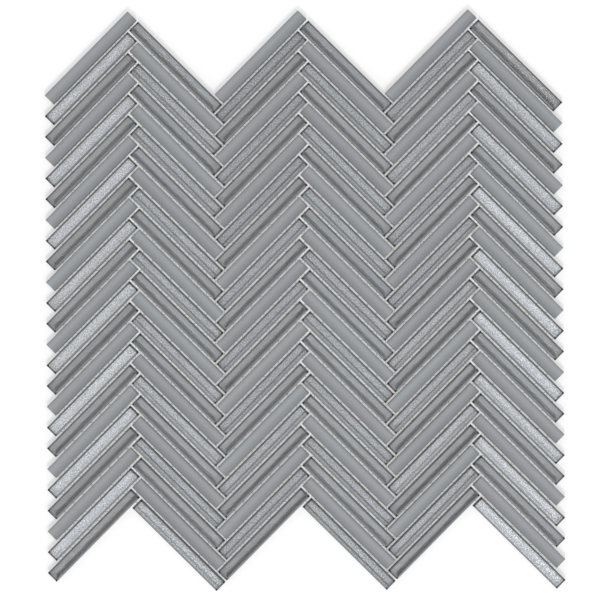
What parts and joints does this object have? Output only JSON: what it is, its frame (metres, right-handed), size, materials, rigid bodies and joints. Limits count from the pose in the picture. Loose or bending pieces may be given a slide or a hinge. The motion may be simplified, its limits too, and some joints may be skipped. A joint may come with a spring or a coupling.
{
  "type": "herringbone glass mosaic tile sheet",
  "caption": "Mesh-backed mosaic sheet of slim glass sticks laid in herringbone chevrons, in matte, silver foil-backed and clear finishes, for wall tiling.",
  "frame": {"origin": "middle of the sheet's footprint, on the surface that the backing mesh lies on", "axes": "+X across the sheet, +Y up the sheet the way the chevrons point, +Z out of the glass faces"},
  "size_m": [0.2892, 0.3242, 0.0065],
  "materials": {
    "matte_glass": "frosted grey face",
    "foil_glass": "polished clear face over granular silver foil",
    "clear_glass": "polished clear face over grey back paint",
    "mesh_yarn": "white coated glass-fibre yarn"
  },
  "bodies": {
    "root": {"clear_sticks_left_1": "clear_glass", "clear_sticks_left_2": "clear_glass", "clear_sticks_left_3": "clear_glass", "clear_sticks_right_1": "clear_glass", "clear_sticks_right_2": "clear_glass", "clear_sticks_right_3": "clear_glass", "foil_sticks_left_1": "foil_glass", "foil_sticks_left_2": "foil_glass", "foil_sticks_left_3": "foil_glass", "foil_sticks_right_1": "foil_glass", "foil_sticks_right_2": "foil_glass", "foil_sticks_right_3": "foil_glass", "matte_sticks_left_1": "matte_glass", "matte_sticks_left_2": "matte_glass", "matte_sticks_left_3": "matte_glass", "matte_sticks_right_1": "matte_glass", "matte_sticks_right_2": "matte_glass", "matte_sticks_right_3": "matte_glass", "mesh_warp_yarns": "mesh_yarn", "mesh_weft_yarns": "mesh_yarn"}
  },
  "joints": []
}
